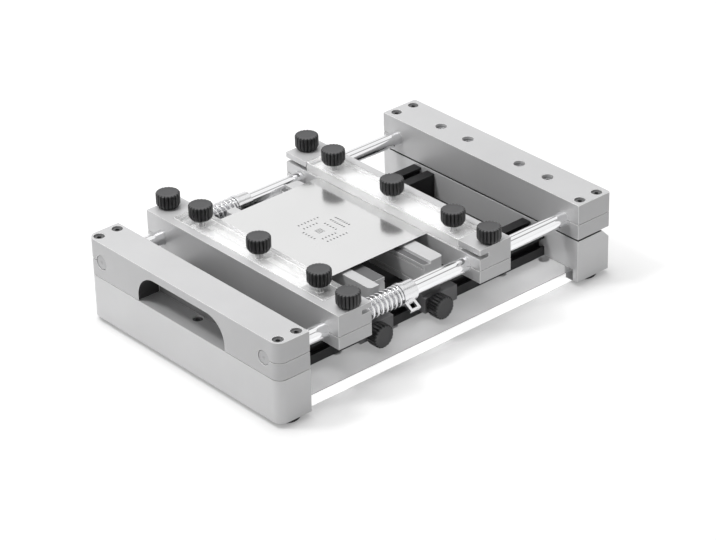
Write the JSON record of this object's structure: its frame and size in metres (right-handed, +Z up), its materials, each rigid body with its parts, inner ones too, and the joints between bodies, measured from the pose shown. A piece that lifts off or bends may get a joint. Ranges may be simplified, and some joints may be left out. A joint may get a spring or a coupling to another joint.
{
  "type": "tabletop screen printing press",
  "caption": "Bench press that holds a stencil foil in a hinged frame over a board, with sliding clamp bars on rods, hand knobs and sliding board holders on rails.",
  "frame": {"origin": "centre of the footprint, on the surface that the feet stand on", "axes": "+X along the rods from the handle to the hinges, +Y across the press away from the side with the rail knobs, +Z up"},
  "size_m": [0.337, 0.229, 0.0869],
  "materials": {
    "anodised": "fine satin, light grey anodised",
    "holder": "fine satin, light grey anodised",
    "rail": "satin, black anodised",
    "bed": "satin, black anodised",
    "clamp_block": "satin, dark grey anodised",
    "rod": "polished",
    "spring": "bright drawn wire",
    "collar": "bright turned",
    "hinge": "satin",
    "screw": "bright",
    "dark_screw": "blackened",
    "foil": "smooth rolled sheet",
    "base_plate": "clear acrylic, polished edges",
    "clamp_strip": "clear acrylic, polished edges",
    "knob": "fine matte moulding, dark grey",
    "foot": "matte black"
  },
  "bodies": {
    "base": {"base_plate": "base_plate", "lower_left_block": "anodised", "lower_right_block": "anodised", "near_rail": "rail", "far_rail": "rail", "bed_plate": "bed", "feet": "foot", "foot_screws": "screw", "rail_screws": "screw", "tongue_screws": "screw", "recess_screw": "dark_screw", "lower_hinge_leaves": "hinge", "hinge_pins": "screw", "lower_leaf_screws": "screw"},
    "print_frame": {"handle_bar": "anodised", "hinge_bar": "anodised", "near_rod": "rod", "far_rod": "rod", "handle_screws": "dark_screw", "hinge_bar_screws": "dark_screw", "upper_hinge_leaves": "hinge", "upper_leaf_screws": "screw"},
    "left_clamp": {"left_bar": "anodised", "left_strip": "clamp_strip"},
    "right_clamp": {"right_bar": "anodised", "right_strip": "clamp_strip", "stencil_foil": "foil"},
    "near_collar_set": {"near_collar": "collar", "near_spring": "spring"},
    "far_collar_set": {"far_collar": "collar", "far_spring": "spring"},
    "left_board_holder": {"left_holder": "holder", "left_clamp_block": "clamp_block", "left_slot_nut": "screw"},
    "right_board_holder": {"right_holder": "holder", "right_clamp_block": "clamp_block", "right_slot_nut": "screw"},
    "left_near_grip_knob": {"left_near_grip_knob": "knob"},
    "left_far_grip_knob": {"left_far_grip_knob": "knob"},
    "right_near_grip_knob": {"right_near_grip_knob": "knob"},
    "right_far_grip_knob": {"right_far_grip_knob": "knob"},
    "left_near_strip_knob": {"left_near_strip_knob": "knob"},
    "left_middle_strip_knob": {"left_middle_strip_knob": "knob"},
    "left_far_strip_knob": {"left_far_strip_knob": "knob"},
    "right_near_strip_knob": {"right_near_strip_knob": "knob"},
    "right_middle_strip_knob": {"right_middle_strip_knob": "knob"},
    "right_far_strip_knob": {"right_far_strip_knob": "knob"},
    "left_rail_knob": {"left_rail_knob": "knob"},
    "right_rail_knob": {"right_rail_knob": "knob"}
  },
  "joints": [
    {"name": "frame_hinge", "type": "hinge", "parent": "base", "child": "print_frame", "pos_m": [0.1653, 0, 0.04075], "axis": [0, 1, 0], "range_deg": [0, 135]},
    {"name": "left_clamp_slide", "type": "slide", "parent": "print_frame", "child": "left_clamp", "axis": [1, 0, 0], "range_m": [0, 0.008], "stiffness_N_per_m": 600, "springref_m": -0.014, "deforming": ["near_spring", "far_spring"]},
    {"name": "right_clamp_slide", "type": "slide", "parent": "print_frame", "child": "right_clamp", "axis": [1, 0, 0], "range_m": [0, 0.06]},
    {"name": "near_collar_slide", "type": "slide", "parent": "print_frame", "child": "near_collar_set", "axis": [1, 0, 0], "range_m": [0, 0.03]},
    {"name": "far_collar_slide", "type": "slide", "parent": "print_frame", "child": "far_collar_set", "axis": [1, 0, 0], "range_m": [0, 0.03]},
    {"name": "left_holder_slide", "type": "slide", "parent": "base", "child": "left_board_holder", "axis": [1, 0, 0], "range_m": [-0.005, 0.012]},
    {"name": "right_holder_slide", "type": "slide", "parent": "base", "child": "right_board_holder", "axis": [1, 0, 0], "range_m": [-0.012, 0.008]},
    {"name": "left_near_grip_knob_turn", "type": "hinge", "parent": "left_clamp", "child": "left_near_grip_knob", "pos_m": [-0.0952, -0.105, 0.075], "axis": [0, 0, 1], "range_deg": [0, 720]},
    {"name": "left_far_grip_knob_turn", "type": "hinge", "parent": "left_clamp", "child": "left_far_grip_knob", "pos_m": [-0.0952, 0.105, 0.075], "axis": [0, 0, 1], "range_deg": [0, 720]},
    {"name": "right_near_grip_knob_turn", "type": "hinge", "parent": "right_clamp", "child": "right_near_grip_knob", "pos_m": [0.0454, -0.105, 0.075], "axis": [0, 0, 1], "range_deg": [0, 720]},
    {"name": "right_far_grip_knob_turn", "type": "hinge", "parent": "right_clamp", "child": "right_far_grip_knob", "pos_m": [0.0454, 0.105, 0.075], "axis": [0, 0, 1], "range_deg": [0, 720]},
    {"name": "left_near_strip_knob_turn", "type": "hinge", "parent": "left_clamp", "child": "left_near_strip_knob", "pos_m": [-0.09185, -0.069, 0.075], "axis": [0, 0, 1], "range_deg": [0, 720]},
    {"name": "left_middle_strip_knob_turn", "type": "hinge", "parent": "left_clamp", "child": "left_middle_strip_knob", "pos_m": [-0.09185, 0, 0.075], "axis": [0, 0, 1], "range_deg": [0, 720]},
    {"name": "left_far_strip_knob_turn", "type": "hinge", "parent": "left_clamp", "child": "left_far_strip_knob", "pos_m": [-0.09185, 0.069, 0.075], "axis": [0, 0, 1], "range_deg": [0, 720]},
    {"name": "right_near_strip_knob_turn", "type": "hinge", "parent": "right_clamp", "child": "right_near_strip_knob", "pos_m": [0.04205, -0.069, 0.075], "axis": [0, 0, 1], "range_deg": [0, 720]},
    {"name": "right_middle_strip_knob_turn", "type": "hinge", "parent": "right_clamp", "child": "right_middle_strip_knob", "pos_m": [0.04205, 0, 0.075], "axis": [0, 0, 1], "range_deg": [0, 720]},
    {"name": "right_far_strip_knob_turn", "type": "hinge", "parent": "right_clamp", "child": "right_far_strip_knob", "pos_m": [0.04205, 0.069, 0.075], "axis": [0, 0, 1], "range_deg": [0, 720]},
    {"name": "left_rail_knob_turn", "type": "hinge", "parent": "left_board_holder", "child": "left_rail_knob", "pos_m": [-0.0542, -0.09, 0.0255], "axis": [0, -1, 0], "range_deg": [0, 720]},
    {"name": "right_rail_knob_turn", "type": "hinge", "parent": "right_board_holder", "child": "right_rail_knob", "pos_m": [0.007, -0.09, 0.0255], "axis": [0, -1, 0], "range_deg": [0, 720]}
  ]
}
